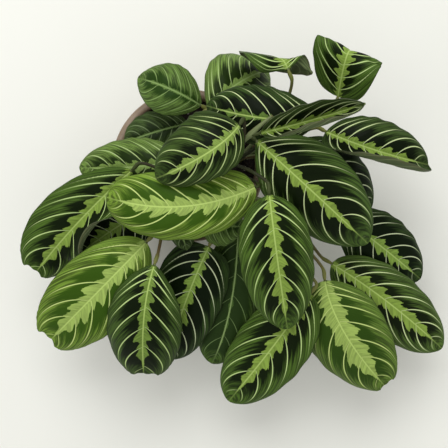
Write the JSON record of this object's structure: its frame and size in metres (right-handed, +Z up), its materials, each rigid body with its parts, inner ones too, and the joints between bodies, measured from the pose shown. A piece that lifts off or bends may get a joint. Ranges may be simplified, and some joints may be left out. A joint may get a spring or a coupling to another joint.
{
  "type": "potted prayer plant",
  "caption": "Leafy prayer plant with pale-veined oval leaves spreading over a round tapered pot that stands on a flat surface.",
  "frame": {"origin": "centre of the pot's flat underside, on the surface it stands on", "axes": "+Z up along the pot's axis; +X and +Y are the right and the top of the view from above"},
  "size_m": [0.3535, 0.2963, 0.2098],
  "materials": {
    "pot": "satin taupe, slightly speckled",
    "soil": "rough dark potting soil with small lumps",
    "stem": "grey-green to tan living stalk",
    "leaf_dark": "satin dark green leaf with a lime centre and pale veins",
    "leaf_mid": "satin mid-green leaf with a few dark spots",
    "leaf_lemon": "satin yellow-green leaf with a lime centre",
    "leaf_shaded": "satin blackish green leaf with pale veins",
    "leaf_dull": "dull dark green leaf with thin pale veins"
  },
  "bodies": {
    "root": {"pot": "pot", "soil": "soil", "stem_back": "stem", "stem_left": "stem", "stem_crown": "stem", "stem_right": "stem", "stem_front_left": "stem", "stem_front": "stem", "stem_front_right": "stem", "leaf_01_round_back_left": "leaf_mid", "leaf_02_back_middle": "leaf_mid", "leaf_03_hanging_back": "leaf_dark", "leaf_04_bent_back_right": "leaf_dark", "leaf_05_dark_back": "leaf_dark", "leaf_06_half_folded": "leaf_dark", "leaf_07_large_right": "leaf_dark", "leaf_08_front_middle": "leaf_dark", "leaf_09_lemon_left": "leaf_lemon", "leaf_10_crown": "leaf_dark", "leaf_11_left": "leaf_mid", "leaf_12_far_left": "leaf_dark", "leaf_13_far_right": "leaf_dark", "leaf_14_lemon_front_left": "leaf_lemon", "leaf_15_front_left": "leaf_dark", "leaf_16_inner_back_left": "leaf_mid", "leaf_17_dark_front": "leaf_shaded", "leaf_18_dull_front": "leaf_dull", "leaf_19_low_front": "leaf_dark", "leaf_20_lemon_front_right": "leaf_lemon", "leaf_21_far_right_low": "leaf_dark", "leaf_22_dark_right": "leaf_shaded", "leaf_23_under_right": "leaf_shaded", "leaf_24_under_left": "leaf_shaded", "leaf_25_under_centre": "leaf_mid", "leaf_26_small_pointed": "leaf_dark"}
  },
  "joints": []
}
